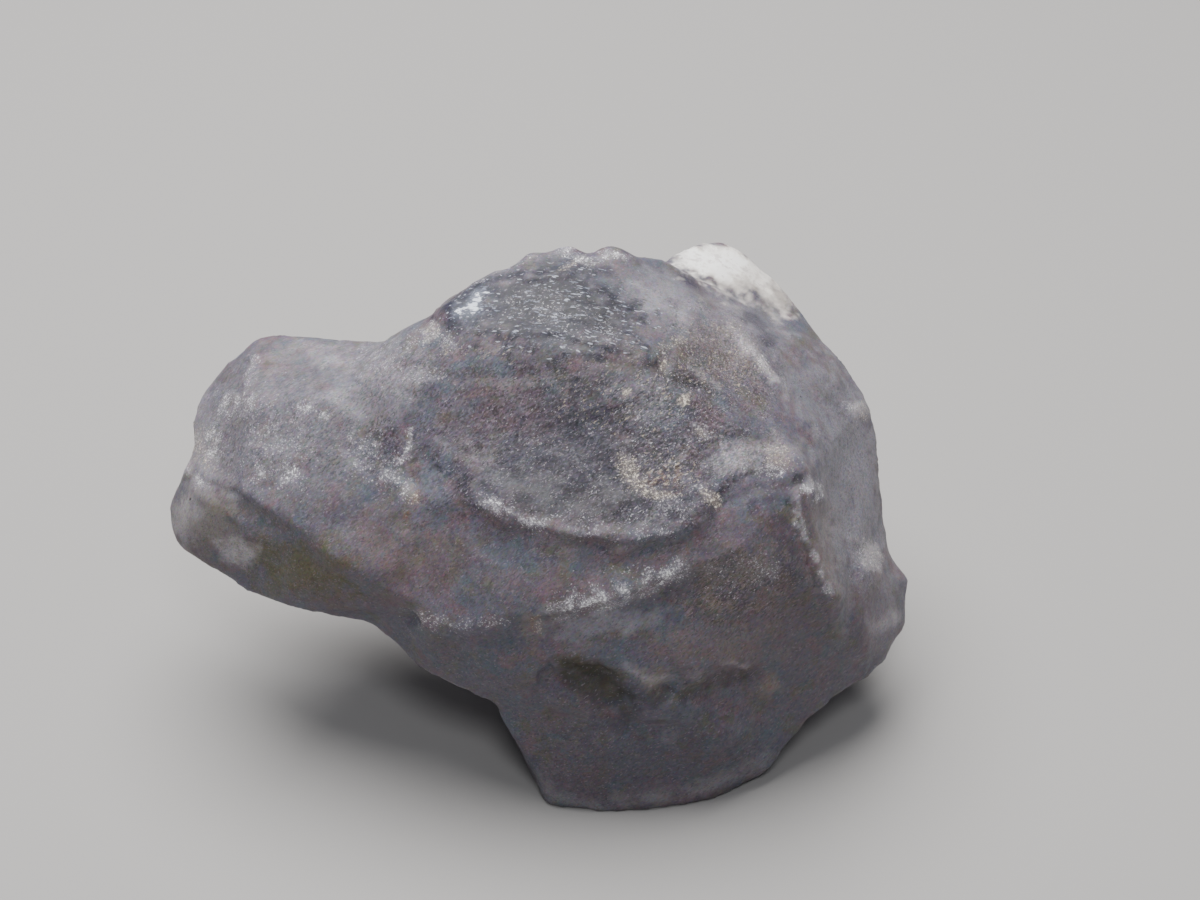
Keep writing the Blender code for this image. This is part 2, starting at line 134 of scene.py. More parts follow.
# Crushed rims: the line, how far the crushed grains scatter from it, and how crushed they are. Their whitest
# flecks are painted glints, so a bright run sparkles most.
Rim = namedtuple("Rim", "line width share")
RIMS = {
    "upper lip, bright run": Rim(((-2.5, 8.4), (-1.9, 8.1), (-1.2, 7.8), (-0.4, 7.4), (0.8, 7.1)), 0.22, 0.9),
    "upper lip, above": Rim(((-1.6, 8.3), (-0.2, 7.7), (1.6, 7.3), (3.4, 7.2)), 0.4, 0.08),
    "upper lip": Rim(((0.4, 7.1), (2.2, 6.9), (4.2, 6.9), (5.6, 7.1), (6.5, 7.7)), 0.3, 0.3),
    "upper lip, right": Rim(((4.8, 7.6), (6.0, 8.1), (6.9, 8.2)), 0.6, 0.22),
    "lower lip, left": Rim(((-5.6, 3.7), (-4.2, 3.2), (-2.8, 3.1), (-0.7, 3.4)), 0.28, 0.32),
    "lower lip, bright run": Rim(
        ((0.3, 3.7), (1.6, 4.0), (2.8, 4.3), (3.8, 4.6), (4.9, 5.0), (6.4, 5.6)), 0.42, 0.95),
    "lower lip, above": Rim(((0.6, 4.1), (2.6, 4.5), (4.4, 5.1)), 0.4, 0.2),
    "lower lip, right": Rim(((6.6, 5.4), (7.8, 5.2), (8.9, 5.3), (10.0, 5.5)), 0.5, 0.2),
    "face step": Rim(((-7.6, 10.0), (-6.9, 9.5), (-6.1, 9.1), (-5.5, 8.7), (-4.9, 8.4)), 0.4, 0.5),
    "face step, outer": Rim(((-8.0, 10.9), (-7.2, 10.3), (-6.2, 10.1)), 0.7, 0.26),
    "face step, upper": Rim(((-5.2, 11.2), (-5.1, 10.6), (-5.3, 9.9), (-5.8, 9.6)), 0.1, 0.6),
    "neck, row": Rim(((-5.4, 13.1), (-4.4, 13.2), (-3.2, 13.1)), 0.3, 0.22),
    "neck, top": Rim(((-7.6, 14.2), (-6.0, 14.1), (-4.4, 14.8)), 0.7, 0.22),
    "arm, upper left": Rim(((-11.8, 14.2), (-11.9, 13.2), (-12.1, 12.2)), 0.2, 0.4),
    "arm, shoulder": Rim(((-13.2, 12.6), (-12.9, 11.9), (-12.2, 12.1), (-11.4, 12.3)), 0.4, 0.5),
    "arm, left": Rim(((-13.9, 11.2), (-13.5, 10.4), (-13.7, 9.8)), 0.6, 0.55),
    "arm, end": Rim(((-14.8, 9.7), (-14.6, 9.2), (-14.1, 8.9), (-13.4, 8.7)), 0.16, 0.8),
    "arm, row": Rim(((-11.8, 8.8), (-11.3, 9.2), (-10.4, 9.1), (-9.4, 9.4)), 0.3, 0.65),
    "arm, arc": Rim(((-9.9, 12.0), (-9.1, 11.8), (-8.3, 11.4)), 0.14, 0.8),
    "arm, nick": Rim(((-11.2, 11.2), (-10.8, 10.9)), 0.12, 0.4),
    "arm, middle": Rim(((-12.2, 10.8), (-10.4, 10.4), (-8.8, 10.6)), 1.6, 0.2),
    "glint foot": Rim(((-4.8, 14.8), (-4.2, 15.0), (-3.5, 14.6), (-2.9, 14.3)), 0.3, 0.4),
    "crest, left": Rim(((-3.4, 16.2), (-2.5, 17.1), (-0.8, 17.8), (0.4, 18.3)), 0.1, 0.2),
    "crest": Rim(((0.6, 18.5), (1.3, 18.3), (2.1, 17.8), (3.0, 18.2), (4.0, 18.1)), 0.14, 0.7),
    "upper facet, dashes": Rim(((-1.6, 16.4), (0.2, 16.1), (1.6, 15.4), (3.6, 14.4)), 0.7, 0.16),
    "flank ridge, upper": Rim(((8.5, 14.6), (9.2, 13.8), (9.9, 12.9)), 0.2, 0.4),
    "flank ridge": Rim(((10.5, 8.4), (10.6, 7.2), (11.3, 5.9), (11.7, 4.6), (12.2, 3.9)), 0.09, 0.4),
    "flank patch": Rim(((10.7, 8.8), (11.1, 8.6), (11.7, 8.3)), 0.3, 0.95),
    "plate rim": Rim(((8.3, 9.6), (9.0, 9.3), (10.2, 9.3)), 0.14, 0.6),
    "plate foot": Rim(((6.4, 8.9), (6.8, 8.5), (7.2, 8.4)), 0.3, 0.45),
    "plate, cluster": Rim(((6.2, 11.3), (6.8, 11.0), (7.2, 10.6)), 0.22, 0.5),
    "tan, sparks": Rim(((7.6, 5.4), (8.4, 5.2), (9.3, 5.2)), 0.5, 0.2),
    "flank, high": Rim(((12.6, 12.2), (13.2, 11.8), (13.7, 11.3)), 0.26, 0.4),
    "cheek": Rim(((13.4, 6.2), (13.8, 5.6), (14.0, 5.0)), 0.5, 0.3),
}

# Paler lines, mostly painted light: thin edges that let light through, edges and lips that catch the light, and
# the undersides of the lips lifted out of their shade. A few follow pale cracks.
PALE_AND_PAINTED_LIGHT_EDGES = {
    "flank": Rim(((10.5, 9.0), (10.5, 8.2), (10.6, 7.2), (11.3, 5.9), (11.7, 4.6), (12.2, 3.9)), 0.09, 0.65),
    "flank, upper": Rim(((8.2, 15.0), (8.6, 14.4), (9.2, 13.7), (9.9, 12.8), (10.3, 12.0)), 0.2, 0.8),
    "face crack": Rim(((6.0, 13.7), (6.6, 13.3), (7.2, 12.9), (7.9, 12.3)), 0.07, 0.4),
    "face rim": Rim(((7.6, 12.7), (8.6, 12.0), (9.5, 11.3), (10.2, 10.6)), 0.1, 0.25),
    "face line": Rim(((-3.6, 12.7), (-2.6, 12.9), (-1.2, 12.8), (0.9, 13.1)), 0.2, 0.35),
    "upper lip": Rim(((-2.2, 8.2), (-0.6, 7.5), (1.0, 7.0), (3.0, 6.8)), 0.16, 0.5),
    "lower lip": Rim(((-0.2, 3.6), (1.8, 4.0), (3.6, 4.5), (5.0, 5.0)), 0.2, 0.5),
    "arm end": Rim(((-14.8, 9.6), (-14.2, 8.9), (-13.2, 8.6), (-12.0, 8.0)), 0.25, 0.5),
    "crest": Rim(
        ((-3.4, 16.2), (-2.5, 17.1), (-0.8, 17.8), (0.4, 18.3), (2.0, 17.9), (3.8, 18.2)), 0.14, 0.25),
    "foot": Rim(
        ((-0.2, -2.8), (0.5, -4.2), (2.2, -4.6), (3.4, -4.5), (4.7, -4.4), (6.3, -4.2),
         (7.8, -3.6), (9.3, -3.0), (9.9, -1.9)), 0.4, 0.4),
    "cheek": Rim(((13.6, 2.6), (14.4, 2.8), (15.0, 3.4)), 0.3, 0.35),
    "under the upper lip": Rim(
        ((-0.6, 6.9), (0.4, 6.6), (1.8, 6.35), (3.8, 6.2), (5.4, 6.6), (6.4, 7.2)), 0.3, 0.12),
    "under the lower lip": Rim(((0.4, 3.3), (1.8, 3.45), (3.8, 4.15), (5.2, 4.7)), 0.25, 0.35),
    "tooth": Rim(((3.2, 1.8), (3.9, 1.35), (4.5, 0.85), (5.2, 0.9), (6.2, 1.05), (6.9, 1.0)), 0.16, 0.4),
    "tooth, right": Rim(((7.4, 1.4), (8.0, 1.5), (8.8, 1.3)), 0.1, 0.4),
}

# Painted shade: dark lines under edges, in the recess and along the crest's groove, and wide dark bands that
# darken the low part of the face and the upper facet
PAINTED_SHADE_LINES = {
    "recess": Rim(((0.8, 1.7), (1.7, 1.3), (2.6, 1.25), (3.1, 0.9), (3.7, 0.3), (4.5, -0.2)), 0.34, 0.85),
    "recess, floor": Rim(((1.0, 1.2), (1.9, 0.8), (2.8, 0.4), (3.6, -0.3), (4.4, -0.8)), 0.5, 0.5),
    "tooth": Rim(((4.3, -0.1), (5.4, 0.35), (6.7, 0.4), (7.6, 0.8), (8.6, 0.8), (9.4, 1.2)), 0.28, 0.5),
    "plate": Rim(((10.2, 9.0), (10.6, 8.9), (10.9, 8.6)), 0.2, 0.8),
    "face crack": Rim(((4.4, 13.7), (5.0, 13.5), (5.6, 13.2), (6.6, 12.7)), 0.16, 0.5),
    "crest": Rim(((-0.9, 16.8), (0.3, 16.85), (1.4, 17.05), (2.2, 17.6)), 0.2, 0.5),
    "face": Rim(((-1.6, 8.8), (0.6, 8.3), (2.8, 8.1), (4.2, 8.0)), 0.7, 0.45),
    "upper facet": Rim(((-1.4, 15.9), (0.6, 16.2), (2.4, 15.8), (3.6, 15.0)), 0.9, 0.6),
}

# Places where the stone changes, gathered by what it changes to: the middle, the half-lengths, the turn in
# degrees and the strength
Spot = namedtuple("Spot", "across up half_across half_up turn strength")
SPOTS = {
    # Sugary break, made of many small grains
    "sugary": (
        Spot(1.6, 10.6, 7.6, 4.4, -8, 0.55), Spot(5.4, 10.6, 3.8, 3.6, -20, 1.0),
        Spot(0.5, 15.9, 5.6, 2.0, -8, 0.22), Spot(7.6, 13.6, 3.0, 2.6, -30, 0.7),
        Spot(8.2, 4.7, 2.8, 1.5, 10, 0.6), Spot(-12.6, 11.2, 1.5, 2.8, 10, 0.5),
        Spot(-6.2, 10.2, 1.2, 1.7, 0, 0.7), Spot(4.6, 8.0, 3.0, 1.0, 4, 1.0),
        Spot(-10.2, 5.8, 3.4, 1.8, -16, 0.08), Spot(8.4, 9.9, 2.0, 0.8, 0, 0.8),
        Spot(-10.0, 11.2, 3.6, 3.2, 0, 0.35), Spot(-5.8, 13.4, 2.8, 1.8, 0, 0.5),
        Spot(13.4, 6.0, 1.2, 2.0, 0, 0.35), Spot(12.6, 10.4, 1.6, 4.0, 10, 0.25),
    ),
    # Glassy break with wavy ripples
    "glassy": (
        Spot(0.8, 15.8, 4.2, 1.9, -8, 1.0), Spot(-2.6, 16.3, 1.6, 1.2, 30, 1.0),
        Spot(0.9, 17.5, 2.4, 0.7, 4, 0.6),
    ),
    # Painted glint: a glassy chip painted silvery white where it mirrors the light
    "painted_glint": (Spot(-2.55, 16.1, 0.75, 0.5, 42, 1.0), Spot(1.4, 14.2, 1.2, 0.25, -8, 0.3)),
    # Pale and milky stone. The spots on the nose end, the cheek and the foot are also painted light, as light
    # through thin stone would show.
    "milk": (
        Spot(-10.8, 11.0, 4.4, 3.4, 0, 0.6), Spot(-14.0, 10.6, 1.3, 3.4, 8, 0.85),
        Spot(-6.8, 13.0, 2.6, 2.2, 0, 0.85), Spot(-9.0, 14.2, 3.6, 0.9, 0, 0.4),
        Spot(8.2, 9.9, 1.9, 0.9, 8, 0.9), Spot(8.6, 15.2, 2.6, 1.7, -35, 0.8),
        Spot(5.2, 16.2, 2.0, 1.5, -30, 0.85), Spot(13.0, 9.0, 2.0, 5.6, 4, 1.0),
        Spot(2.6, 3.2, 2.8, 0.6, 8, 0.8), Spot(-12.2, 5.9, 0.9, 0.55, 0, 1.0),
        Spot(-14.6, 7.4, 0.9, 1.4, -20, 1.0), Spot(4.6, -3.4, 3.4, 1.4, 0, 0.2),
        Spot(5.4, -1.6, 0.5, 0.4, 0, 0.4), Spot(14.6, 3.4, 1.0, 2.4, 0, 0.5),
        Spot(13.9, 5.8, 0.6, 0.9, 20, 1.0), Spot(13.6, 11.9, 0.6, 0.6, 0, 1.0),
        Spot(4.4, 12.2, 1.6, 0.9, -20, 0.9), Spot(11.4, 12.6, 1.9, 1.5, -50, 0.7),
        Spot(10.9, 8.8, 0.4, 0.4, 0, 1.0), Spot(10.0, 10.1, 0.9, 0.5, 0, 0.7),
        Spot(-13.6, 7.6, 1.2, 0.6, -30, 0.6),
    ),
    # Paler again, as a frost on the milky stone
    "pale": (
        Spot(-12.3, 6.0, 0.9, 0.6, -20, 0.9), Spot(10.9, 8.7, 0.4, 0.4, 0, 0.7),
        Spot(13.9, 5.8, 0.5, 0.8, 20, 0.6), Spot(9.9, 10.1, 0.8, 0.4, 0, 0.2),
        Spot(8.0, 9.9, 1.3, 0.6, 8, 0.65), Spot(5.0, 16.4, 1.4, 0.5, -20, 0.4),
        Spot(-14.8, 7.6, 0.4, 0.8, -20, 0.5), Spot(13.5, 11.9, 0.5, 0.4, 0, 0.6),
        Spot(9.0, 14.0, 0.3, 1.0, 36, 0.4), Spot(14.6, 2.9, 0.7, 0.3, 20, 0.6),
        Spot(-8.6, 13.9, 1.6, 0.5, -20, 0.4), Spot(-4.3, 14.9, 0.6, 0.3, 40, 0.5),
        Spot(4.0, 17.0, 0.4, 0.16, -20, 0.45), Spot(6.0, 15.6, 0.4, 0.25, -30, 0.45),
        Spot(4.6, 15.9, 0.4, 0.2, -10, 0.4),
    ),
    # Deep, where the stone is thick: dark and a little blue. The wide faint spot low on the front, above the
    # foot, is painted shade, darkening the lower face as light from above leaves it.
    "deep": (
        Spot(2.2, 8.3, 4.8, 1.3, -2, 1.0), Spot(0.9, 17.0, 2.6, 0.7, 4, 0.8),
        Spot(1.0, 18.0, 1.6, 0.4, 0, 0.5), Spot(1.8, 10.2, 4.0, 2.6, -10, 0.8),
        Spot(0.8, 8.5, 4.6, 1.2, -6, 1.0), Spot(0.2, 15.9, 3.8, 1.8, -8, 1.0),
        Spot(-3.4, 16.2, 1.2, 0.9, 30, 0.6), Spot(-2.2, 6.2, 2.2, 0.8, -10, 0.3),
        Spot(2.2, 1.0, 1.8, 0.6, -30, 0.5), Spot(3.0, 0.3, 2.2, 0.9, -10, 0.45),
        Spot(4.6, -3.6, 5.2, 3.0, 0, 0.4), Spot(10.7, 9.0, 0.4, 0.25, 0, 1.0),
        Spot(9.4, 8.5, 1.3, 0.6, 10, 0.5), Spot(-7.6, 8.0, 3.2, 1.6, -10, 0.4),
        Spot(3.6, -1.2, 1.6, 0.6, -30, 0.4), Spot(9.1, 15.6, 0.8, 0.5, -30, 0.8),
        Spot(9.6, 14.8, 0.5, 0.5, 0, 0.7), Spot(5.0, 13.5, 0.8, 0.3, -20, 0.9),
        Spot(6.6, 12.9, 0.6, 0.25, -20, 0.8), Spot(2.9, 17.4, 0.6, 0.3, -10, 0.8),
        Spot(6.4, 17.1, 0.8, 0.3, -35, 0.9), Spot(5.5, 16.2, 0.6, 0.22, -20, 0.6),
        Spot(3.7, 15.6, 0.8, 0.3, -15, 0.6), Spot(6.2, 14.3, 0.7, 0.3, -20, 0.8),
        Spot(1.6, 9.2, 5.4, 2.2, -6, 1.0), Spot(4.6, 8.6, 2.6, 1.4, -6, 0.9),
        Spot(10.2, 5.6, 0.8, 1.8, 10, 0.5),
    ),
    "mauve": (
        Spot(-2.4, 11.4, 2.6, 1.7, -6, 0.5), Spot(-0.6, 11.5, 1.8, 0.9, -6, 0.9),
        Spot(-6.2, 11.4, 0.8, 0.9, 0, 0.35), Spot(9.4, 2.4, 3.2, 2.2, 0, 0.5),
        Spot(-0.2, 0.6, 1.4, 0.8, 0, 0.5), Spot(6.6, -4.4, 1.4, 0.5, 10, 0.9),
        Spot(-4.4, 5.2, 2.8, 1.6, -20, 0.5), Spot(7.6, 6.4, 2.2, 0.9, 20, 0.6),
        Spot(-8.2, 4.0, 1.8, 0.6, -12, 0.8), Spot(13.8, 3.6, 1.2, 1.8, 0, 0.5),
    ),
    # Warm and dull, thinly stained by iron
    "tan": (
        Spot(8.2, 4.9, 2.8, 1.5, 10, 1.0), Spot(7.4, 2.4, 3.0, 1.3, 0, 0.35),
        Spot(4.7, 0.9, 0.7, 0.6, -40, 0.8), Spot(9.2, 10.0, 1.2, 0.7, 0, 0.7),
        Spot(-5.4, 6.4, 2.4, 1.6, -20, 0.3), Spot(-0.2, 3.0, 0.4, 1.0, 6, 0.7),
        Spot(9.6, 0.5, 0.5, 0.6, 0, 0.9), Spot(8.5, 4.3, 0.5, 0.4, -40, 0.8),
        Spot(11.6, 6.4, 1.0, 2.4, 10, 0.5), Spot(7.6, 13.9, 2.2, 1.2, -35, 0.5),
        Spot(-14.8, 10.4, 0.6, 1.4, 8, 0.5),
    ),
    # Iron stain in the grains
    "rust": (
        Spot(5.2, 9.0, 0.9, 0.6, -10, 1.0), Spot(0.1, 3.2, 0.22, 0.7, 6, 0.9),
        Spot(6.0, 6.3, 0.25, 0.4, 0, 0.7), Spot(-4.9, 14.6, 0.3, 0.35, 0, 0.7),
        Spot(-9.6, 9.6, 0.4, 0.4, 0, 0.6), Spot(-4.8, 8.6, 0.35, 0.5, 0, 0.9),
        Spot(-5.1, 7.6, 0.25, 0.22, 0, 1.0), Spot(-2.0, 10.2, 0.3, 0.2, 0, 0.8),
        Spot(9.6, 0.6, 0.4, 0.5, 0, 0.4), Spot(-11.9, 12.0, 0.4, 0.2, 0, 0.5),
        Spot(7.2, 4.6, 0.8, 0.5, -20, 0.3),
    ),
    # The knob's crust, cream with chalk on it
    "cream": (Spot(8.4, 17.9, 2.8, 1.3, -22, 1.0), Spot(9.7, 17.0, 1.5, 0.8, -42, 0.75)),
    "chalk": (Spot(7.4, 18.2, 1.9, 0.9, -12, 1.0), Spot(8.8, 18.0, 1.4, 0.8, -30, 0.5)),
    # Cream crumbs among the grains
    "crumbly": (
        Spot(3.9, 9.2, 0.4, 0.8, 30, 0.5), Spot(4.8, 8.4, 0.9, 0.22, -6, 0.6),
        Spot(7.0, 8.3, 0.6, 0.25, -36, 0.7), Spot(-4.2, 14.9, 0.5, 0.35, 40, 0.45),
        Spot(13.9, 5.8, 0.5, 0.8, 30, 0.3), Spot(13.7, 11.7, 0.4, 0.5, 20, 0.4),
        Spot(9.9, 9.8, 0.8, 0.4, 0, 0.35), Spot(3.7, 12.5, 0.34, 0.2, 50, 1.0),
        Spot(6.0, 12.2, 0.3, 0.2, 50, 0.8), Spot(6.6, 10.9, 0.3, 0.2, -30, 0.7),
        Spot(-13.9, 10.2, 0.6, 1.2, 8, 0.3), Spot(-4.9, 8.3, 0.35, 0.5, 0, 0.45),
        Spot(0.1, 3.3, 0.16, 0.5, 6, 0.4), Spot(9.1, 13.8, 0.3, 1.0, 36, 0.3),
        Spot(8.0, 15.3, 0.7, 0.4, -24, 0.25), Spot(5.2, 13.6, 0.2, 0.3, 0, 0.7),
        Spot(1.2, 17.6, 0.7, 0.16, 30, 0.4), Spot(5.6, 14.5, 0.7, 0.3, 20, 0.3),
    ),
    # Straw-coloured grains, thinly scattered
    "straw": (
        Spot(4.2, 12.2, 3.4, 2.0, -24, 0.14), Spot(1.8, 12.0, 1.8, 0.9, -30, 0.16),
        Spot(7.4, 13.8, 2.6, 1.8, -30, 0.16), Spot(1.0, 9.6, 5.4, 2.4, 0, 0.03),
        Spot(-2.4, 14.2, 2.6, 0.8, -6, 0.12), Spot(5.2, 9.2, 1.8, 1.2, 0, 0.2),
        Spot(-13.6, 10.4, 1.2, 2.6, 8, 0.1), Spot(8.4, 5.0, 1.8, 1.2, 0, 0.04),
    ),
    "olive": (
        Spot(-9.6, 5.4, 2.8, 1.3, -14, 1.0), Spot(-12.4, 7.6, 1.6, 0.8, -24, 0.35),
        Spot(2.2, 1.1, 1.7, 0.6, -30, 0.9), Spot(5.4, 13.4, 2.8, 1.2, -25, 0.25),
        Spot(-13.8, 5.0, 1.2, 1.0, -30, 0.4),
    ),
    "dun": (Spot(-13.8, 7.4, 2.0, 1.5, -20, 0.9), Spot(-11.4, 6.4, 1.6, 1.0, -20, 0.4)),
}

# Crusts and crumbs end raggedly, the stone's own changes drift, and all of them crumble a little as they end
CRISP_SPOTS = ("painted_glint", "pale", "rust", "cream", "chalk", "crumbly")
RAGGED = 1.0
DRIFTING = 0.35
CRUMBLING = 1.3

# The chalky knob is chalky on its hidden side too
WRAPPING_SPOTS = ("cream", "chalk")

# How far the lines wander, in millimetres: slowly, and in crumbs
STEP_DRIFT, STEP_CRUMBLE = 0.16, 0.2
RIDGE_DRIFT, RIDGE_CRUMBLE = 0.08, 0.14
RIM_WANDER = 0.15

# The half-width of a step's lip in millimetres, and the share of a line over which it fades at each end
LIP = 0.12
LINE_FADE, RIM_FADE = 0.2, 0.12

# Fine relief in millimetres: how high it stands, how far apart its forms are, and the seed that places them
Relief = namedtuple("Relief", "height size seed")
SUGARY_GRAINS = (Relief(0.03, 0.5, 1), Relief(0.035, 0.32, 2))
CRUSHED_GRAINS = Relief(0.06, 0.3, 3)
GLASSY_RIPPLES = Relief(0.07, (1.5, 0.4, 0.4), 7)
SHELLS = Relief(0.14, 2.0, 4)
SHORT_WAVES = Relief(0.035, 0.9, 4)
LONG_WAVES = Relief(0.07, 2.6, 6)


# ---------------------------------------------------------------- reading and moving the skin

def smoothstep(low, high, value):
    t = np.clip((value - low) / (high - low), 0.0, 1.0)
    return t * t * (3.0 - 2.0 * t)


def bell(value, width):
    return np.exp(-((value / width) ** 2))


def front_ways():
    """Unit directions up and out of the leaning front plane."""
    tilt = math.radians(FRONT_TILT)
    return np.array((0.0, math.sin(tilt), math.cos(tilt))), np.array((0.0, -math.cos(tilt), math.sin(tilt)))


def place_on_front(points):
    up_way, _ = front_ways()
    start = np.array((*FRONT_START, 0.0))
    return points[:, 0] - start[0], (points - start) @ up_way


class Skin:
    """The points of the stone's skin in millimetres, with what each point knows of its place."""

    def __init__(self, mesh):
        self.mesh = mesh
        self.points = self.read("vertices", "co") / MM
        self.normals = self.read("vertex_normals", "vector")
        # The place on the front, and how squarely the skin faces the seen side
        self.across, self.up = place_on_front(self.points)
        self.outward = self.normals @ front_ways()[1]
        self.facing = smoothstep(0.0, 0.4, self.outward)
        # Slow and fine unevenness, for ragged rims and wandering lines
        self.rags = cloud(self.points, 1.4, 3, 3)
        self.crumbling = cloud(self.points, 0.5, 3, 31)

    def read(self, what, field):
        values = np.empty(len(getattr(self.mesh, what)) * 3)
        getattr(self.mesh, what).foreach_get(field, values)
        return values.reshape(-1, 3)

    def push(self, distance):
        """Moves the skin along its normals and keeps it above the ground."""
        self.points += distance[:, None] * self.normals
        self.points[:, 2] = np.maximum(self.points[:, 2], 0.0)
        self.mesh.vertices.foreach_set("co", (self.points * MM).ravel())
        self.mesh.update()

    def keep(self, name, values):
        """Stores a number for each point, for the stone's material to read."""
        attribute = self.mesh.attributes.new(name, "FLOAT", "POINT")
        attribute.data.foreach_set("value", np.clip(values, 0.0, 1.0).astype(np.float32))


def along(line, across, up):
    """Distance to the line, which side of it (1 on the left of its run) and the share of the run so far."""
    ends = np.array(line, float)
    runs = np.diff(ends, axis=0)
    lengths = np.hypot(runs[:, 0], runs[:, 1])
    before = np.concatenate([[0.0], np.cumsum(lengths)])
    distance = np.full(len(across), np.inf)
    side = np.zeros(len(across))
    share = np.zeros(len(across))
    for start, run, length, done in zip(ends, runs, lengths, before):
        t = np.clip(((across - start[0]) * run[0] + (up - start[1]) * run[1]) / length**2, 0.0, 1.0)
        off_across = across - start[0] - t * run[0]
        off_up = up - start[1] - t * run[1]
        here = np.hypot(off_across, off_up)
        closer = here < distance
        distance[closer] = here[closer]
        side[closer] = np.where(run[0] * off_up - run[1] * off_across >= 0, 1.0, -1.0)[closer]
        share[closer] = ((done + t * length) / before[-1])[closer]
    return distance, side, share


def ends_fade(share, end):
    """0 at both ends of a run and 1 between, rising over this share of it."""
    return smoothstep(0.0, end, share) * (1.0 - smoothstep(1.0 - end, 1.0, share))


def cloud(points, size, layers, seed):
    """Soft noise about 0, with lumps of the given size in millimetres (or sizes, one an axis)."""
    shift = np.array((11.3, -7.9, 4.1)) * seed
    return np.array([noise.fractal(Vector(p), 0.7, 2.1, layers) for p in points / size + shift])


def plates(points, relief):
    """Small tilted planes, each with its own tilt, as cleavage steps and grains leave them."""
    shift = np.array((5.7, 3.3, -8.1)) * relief.seed
    heights = np.empty(len(points))
    for i, p in enumerate(points / relief.size + shift):
        q = Vector(p)
        nearest = noise.voronoi(q)[1][0]
        tilt = noise.cell_vector(nearest * 17.0) * 2.0 - Vector((1.0, 1.0, 1.0))
        heights[i] = (q - nearest).dot(tilt)
    return relief.height * heights


def waves(points, relief, layers):
    return relief.height * cloud(points, np.array(relief.size), layers, relief.seed)


def spot_share(spot, across, up, rags):
    """1 inside an oval place on the seen side, fading to 0 at a ragged rim."""
    turn = math.radians(spot.turn)
    right = across - spot.across
    above = up - spot.up
    long_way = (right * math.cos(turn) + above * math.sin(turn)) / spot.half_across
    short_way = (above * math.cos(turn) - right * math.sin(turn)) / spot.half_up
    return spot.strength * (1.0 - smoothstep(0.35, 1.25, np.hypot(long_way, short_way) + 0.4 * rags))


def rim_share(rim, across, up, rags):
    distance, _, share = along(rim.line, across, up)
    return rim.share * bell(distance + RIM_WANDER * rags, rim.width) * ends_fade(share, RIM_FADE)


# ---------------------------------------------------------------- the broken skin

def stone_piece():
    """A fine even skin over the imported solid."""
    stone = bpy.data.objects.new("herderite_stone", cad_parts[STONE_NODE].data.copy())
    bpy.context.scene.collection.objects.link(stone)
    stone.data.materials.clear()
    skin = stone.modifiers.new("skin", "REMESH")
    skin.mode = "VOXEL"
    skin.voxel_size = SKIN_VOXEL * MM
    soft = stone.modifiers.new("soft", "SMOOTH")
    soft.factor = 0.5
    soft.iterations = SKIN_SMOOTHING
    bpy.context.view_layer.update()
    made = bpy.data.meshes.new_from_object(stone.evaluated_get(bpy.context.evaluated_depsgraph_get()))
    stone.modifiers.clear()
    stone.data = made
    made.name = "herderite_stone"
    return stone


def strongest(rims, skin, rags):
    return np.max([rim_share(rim, skin.across, skin.up, rags) for rim in rims.values()], axis=0)


def mark_skin(skin):
    """Finds how far each point is crushed, sugary, milky, stained and so on: 0 not at all, 1 fully."""
    marks = {}
    wrapping = smoothstep(-0.75, -0.1, skin.outward + 0.4 * skin.crumbling)
    for name, spots in SPOTS.items():
        rags = skin.rags * (RAGGED if name in CRISP_SPOTS else DRIFTING) + CRUMBLING * skin.crumbling
        shares = [spot_share(spot, skin.across, skin.up, rags) for spot in spots]
        marks[name] = np.max(shares, axis=0) * (wrapping if name in WRAPPING_SPOTS else skin.facing)
    # Rims are crushed in patches
    patchy = 0.2 + 0.8 * smoothstep(-0.3, 0.25, cloud(skin.points, 0.55, 2, 24))
    rags = skin.rags + skin.crumbling
    marks["crushed"] = strongest(RIMS, skin, rags) * patchy * skin.facing
    # Painted light: the pale edges join the pale frost
    edges = strongest(PALE_AND_PAINTED_LIGHT_EDGES, skin, rags) * smoothstep(-0.3, 0.1, skin.outward)
    marks["pale"] = np.maximum(marks["pale"], edges)
    # Painted shade along the dark lines, under edges and across the low face and the upper facet
    marks["dark"] = strongest(PAINTED_SHADE_LINES, skin, rags + skin.crumbling) * skin.facing
    # The hidden sides break the same ways, wherever slow clouds put them
    hidden = 1.0 - skin.facing
    slow = [cloud(skin.points, 5.0, 2, seed) for seed in (21, 22, 23)]
    marks["sugary"] += hidden * smoothstep(-0.1, 0.2, slow[0])
    marks["milk"] += 0.7 * hidden * smoothstep(0.0, 0.35, slow[1])
    marks["deep"] += 0.7 * hidden * smoothstep(0.0, 0.35, -slow[1])
    marks["mauve"] += 0.5 * hidden * smoothstep(0.1, 0.4, slow[2])
    marks["rust"] += 0.5 * hidden * smoothstep(0.25, 0.5, -slow[2])
    marks["straw"] += 0.1 * hidden * smoothstep(0.0, 0.3, slow[0])
    return marks


def step_push(step, across, up):
    distance, side, share = along(step.line, across, up)
    below = 1.0 - smoothstep(0.0, step.reach, distance)
    edge = smoothstep(-LIP, LIP, distance * -side)
    return -step.drop * below * edge * ends_fade(share, LINE_FADE)


